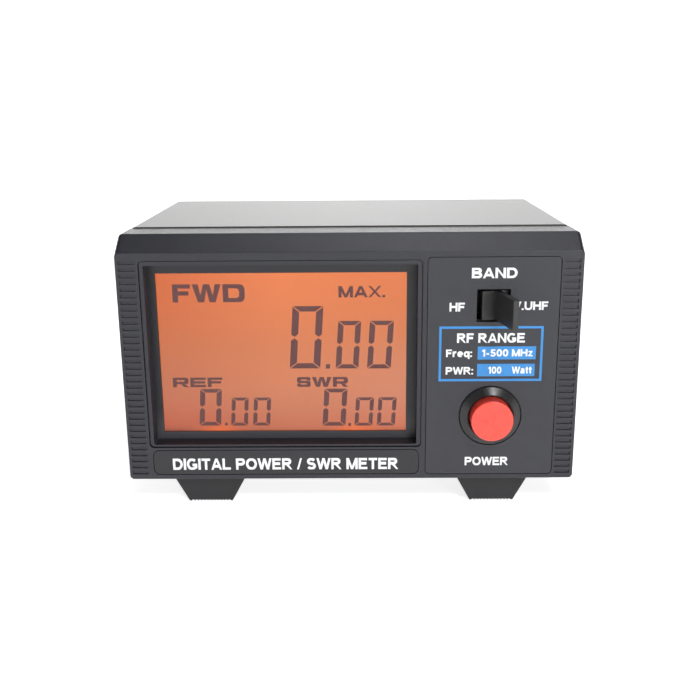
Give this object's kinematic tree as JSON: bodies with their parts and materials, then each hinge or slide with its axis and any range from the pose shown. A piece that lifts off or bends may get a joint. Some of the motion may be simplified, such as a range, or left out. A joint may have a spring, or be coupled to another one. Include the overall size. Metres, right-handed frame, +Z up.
{
  "type": "swr meter",
  "caption": "Desktop radio SWR and power meter: box case with a sloped-top front bezel, lit LCD, band lever, round power button, coaxial sockets on the back and tapered feet.",
  "frame": {"origin": "on the table plane under the centre of the whole meter, feet to case top", "axes": "+X to the right seen from the front, +Y from the front face to the rear panel, +Z up"},
  "size_m": [0.155, 0.1321, 0.0955],
  "materials": {
    "bezel_plastic": "fine moulded texture, dark grey",
    "plate_plastic": "fine grained dark grey plate with printed legends",
    "collar_plastic": "satin near-black",
    "button_red": "satin red moulding",
    "lever_plastic": "satin near-black",
    "display_frame": "satin dark grey",
    "window": "clear acrylic",
    "lcd_orange": "lit orange liquid-crystal pair with dark segments",
    "backlight": "orange light guide and LEDs",
    "zebra_rubber": "layered silicone",
    "circuit_board": "green solder mask",
    "chip_plastic": "moulded epoxy",
    "capacitor_sleeve": "sleeved can",
    "switch_plastic": "moulded nylon",
    "ribbon": "grey PVC ribbon",
    "pin_steel": "ground",
    "terminal_metal": "tinned brass",
    "screw_black": "black zinc",
    "screw_steel": "bright zinc",
    "standoff_metal": "turned brass",
    "chassis_sheet": "fine textured black powder coat",
    "cover_sheet": "fine textured grey powder coat",
    "foot_plastic": "moulded, grooved tread",
    "socket_metal": "nickel plate",
    "socket_insulator": "turned fluoropolymer",
    "contact_metal": "plated contact",
    "jack_plastic": "moulded",
    "tinplate": "soldered tinplate",
    "coupler_copper": "copper",
    "ferrite": "ferrite"
  },
  "bodies": {
    "case": {"front_bezel": "bezel_plastic", "control_plate": "plate_plastic", "name_plate": "plate_plastic", "button_collar": "collar_plastic", "lcd_frame": "display_frame", "lcd_window": "window", "lcd_glass": "lcd_orange", "lcd_backlight": "backlight", "backlight_leds": "backlight", "zebra_strips": "zebra_rubber", "display_board": "circuit_board", "main_board": "circuit_board", "coupler_pickup_uhf": "circuit_board", "display_driver": "chip_plastic", "microcontroller": "chip_plastic", "voltage_regulator": "chip_plastic", "electrolytic_capacitors": "capacitor_sleeve", "power_switch_body": "switch_plastic", "band_switch_body": "switch_plastic", "board_headers": "switch_plastic", "ribbon_cable": "ribbon", "band_lever_pin": "pin_steel", "power_switch_spring": "pin_steel", "switch_terminals": "terminal_metal", "cover_screws": "screw_black", "bezel_screws": "screw_black", "foot_screws": "screw_black", "socket_screws": "screw_steel", "board_screws": "screw_steel", "display_board_screws": "screw_steel", "board_standoffs": "standoff_metal", "chassis": "chassis_sheet", "top_cover": "cover_sheet", "foot_front_left": "foot_plastic", "foot_front_right": "foot_plastic", "foot_rear_left": "foot_plastic", "foot_rear_right": "foot_plastic", "socket_1_shell": "socket_metal", "socket_2_shell": "socket_metal", "socket_3_shell": "socket_metal", "socket_4_shell": "socket_metal", "socket_1_insulator": "socket_insulator", "socket_2_insulator": "socket_insulator", "socket_3_insulator": "socket_insulator", "socket_4_insulator": "socket_insulator", "socket_1_contact": "contact_metal", "socket_2_contact": "contact_metal", "socket_3_contact": "contact_metal", "socket_4_contact": "contact_metal", "dc_jack_pin": "contact_metal", "dc_jack_body": "jack_plastic", "coupler_tray_hf": "tinplate", "coupler_tray_uhf": "tinplate", "coupler_lids": "tinplate", "coupler_line_hf": "coupler_copper", "coupler_line_uhf": "coupler_copper", "coupler_toroid_hf": "ferrite"},
    "lever": {"band_lever": "lever_plastic"},
    "button": {"power_button_cap": "button_red", "power_switch_plunger": "switch_plastic"}
  },
  "joints": [
    {"name": "band_lever_turn", "type": "hinge", "parent": "case", "child": "lever", "pos_m": [0.04805, -0.04284, 0.07125], "axis": [0, 0, 1], "range_deg": [-25, 0]},
    {"name": "power_button_press", "type": "slide", "parent": "case", "child": "button", "axis": [0, 1, 0], "range_m": [0, 0.0025], "stiffness_N_per_m": 300, "springref_m": -0.002, "deforming": ["power_switch_spring"]}
  ]
}
